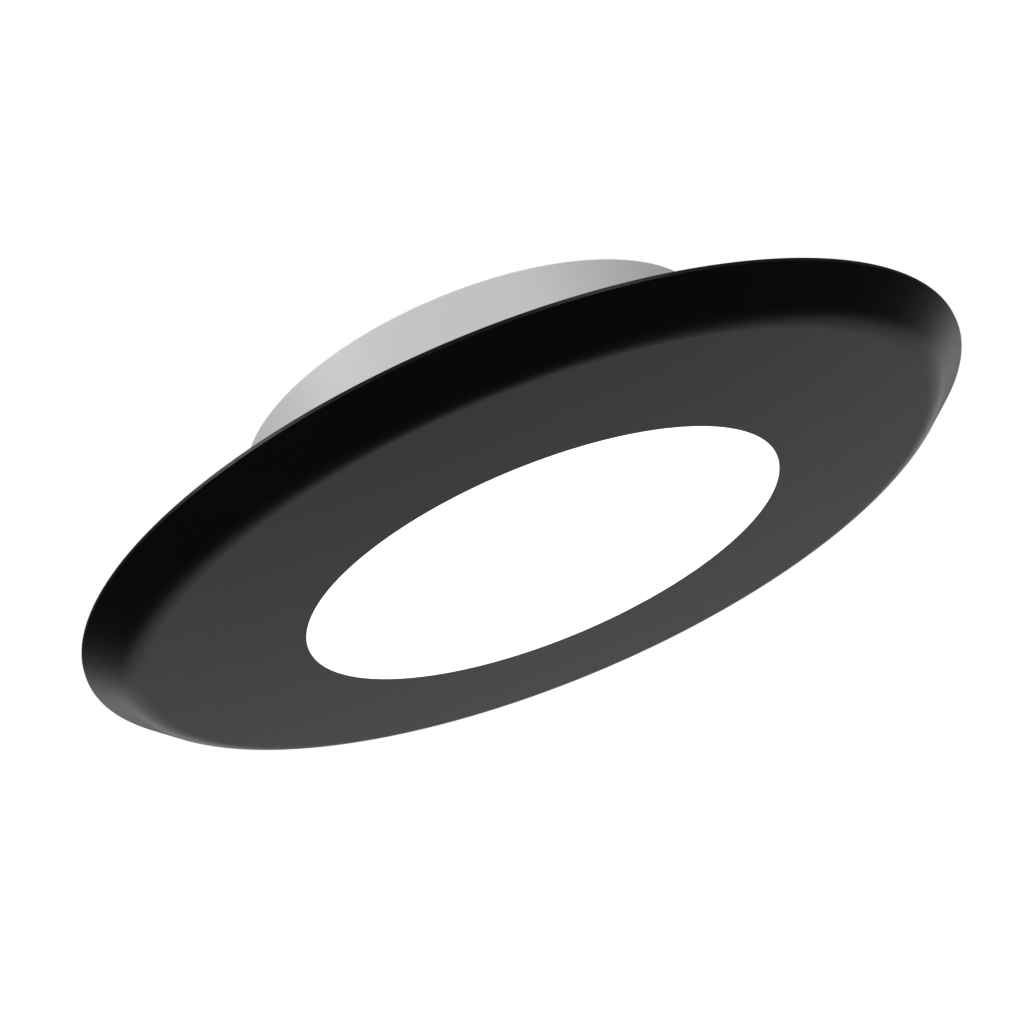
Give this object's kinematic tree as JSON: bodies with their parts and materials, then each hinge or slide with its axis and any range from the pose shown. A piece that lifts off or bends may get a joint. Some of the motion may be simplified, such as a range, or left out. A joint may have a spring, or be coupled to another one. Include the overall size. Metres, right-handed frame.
{
  "type": "soffit downlight",
  "caption": "Round recessed outdoor downlight with a bevelled black trim, flush opal face, short grey can, rear cable gland and folding spring clips.",
  "frame": {"origin": "centre of the trim's rim on its back face, which seats against the soffit", "axes": "+Z along the can's axis up into the soffit, the lit face looks along -Z, the spring clips are on +X and -X, the cable gland is on the +Y side"},
  "size_m": [0.11, 0.11, 0.0348],
  "materials": {
    "trim_black": "satin black powder coat over a die casting",
    "can_grey": "fine satin light grey coat over a die casting",
    "opal": "opal acrylic, evenly lit from behind",
    "foam": "closed-cell foam, dark grey",
    "seal_rubber": "black silicone",
    "gland_rubber": "grey rubber",
    "sleeve_rubber": "black soft sleeve, matt",
    "white_plastic": "white reflector plastic",
    "board_white": "white solder mask on aluminium",
    "led_phosphor": "yellow phosphor in a clear cap",
    "pad_grey": "grey thermal pad",
    "screw_steel": "bright zinc plate",
    "clip_steel": "zinc-plated pressed sheet steel",
    "spring_steel": "drawn spring wire",
    "lead_red": "red insulation",
    "lead_black": "black insulation",
    "film": "thin polyester film",
    "board_green": "green solder mask",
    "ferrite": "dark ferrite",
    "capacitor_yellow": "moulded yellow case",
    "black_plastic": "moulded black plastic",
    "terminal_green": "moulded green plastic"
  },
  "bodies": {
    "body": {"trim_ring": "trim_black", "soffit_gasket": "foam", "diffuser": "opal", "diffuser_gasket": "seal_rubber", "reflector": "white_plastic", "led_board": "board_white", "led_chips": "led_phosphor", "led_connector": "white_plastic", "thermal_pad": "pad_grey", "board_screws": "screw_steel", "housing": "can_grey", "trim_screws": "screw_steel", "web_grommet": "seal_rubber", "lead_red": "lead_red", "lead_black": "lead_black", "insulating_sheet": "film", "driver_board": "board_green", "power_inductor": "ferrite", "capacitors": "capacitor_yellow", "rectifier_diodes": "black_plastic", "control_chip": "black_plastic", "terminal_block": "terminal_green", "terminal_screws": "screw_steel", "driver_screws": "screw_steel", "rear_gasket": "seal_rubber", "rear_cover": "can_grey", "cover_screws": "screw_steel", "gland_washer": "seal_rubber", "gland_body": "black_plastic", "gland_seal": "gland_rubber", "gland_nut": "black_plastic", "gland_locknut": "black_plastic", "clip_screws": "screw_steel", "clip_bracket_right": "clip_steel", "clip_pin_right": "screw_steel", "clip_spring_right": "spring_steel", "clip_bracket_left": "clip_steel", "clip_pin_left": "screw_steel", "clip_spring_left": "spring_steel"},
    "clip_right": {"clip_arm_right": "clip_steel", "clip_sleeve_right": "sleeve_rubber"},
    "clip_left": {"clip_arm_left": "clip_steel", "clip_sleeve_left": "sleeve_rubber"}
  },
  "joints": [
    {"name": "clip_right_fold", "type": "hinge", "parent": "body", "child": "clip_right", "pos_m": [0.03365, 0, 0.0108], "axis": [0, -1, 0], "range_deg": [0, 120], "stiffness_Nm_per_rad": 0.07, "springref_deg": -60, "deforming": ["clip_spring_right"]},
    {"name": "clip_left_fold", "type": "hinge", "parent": "body", "child": "clip_left", "pos_m": [-0.03365, 0, 0.0108], "axis": [0, 1, 0], "range_deg": [0, 120], "stiffness_Nm_per_rad": 0.07, "springref_deg": -60, "deforming": ["clip_spring_left"]}
  ]
}
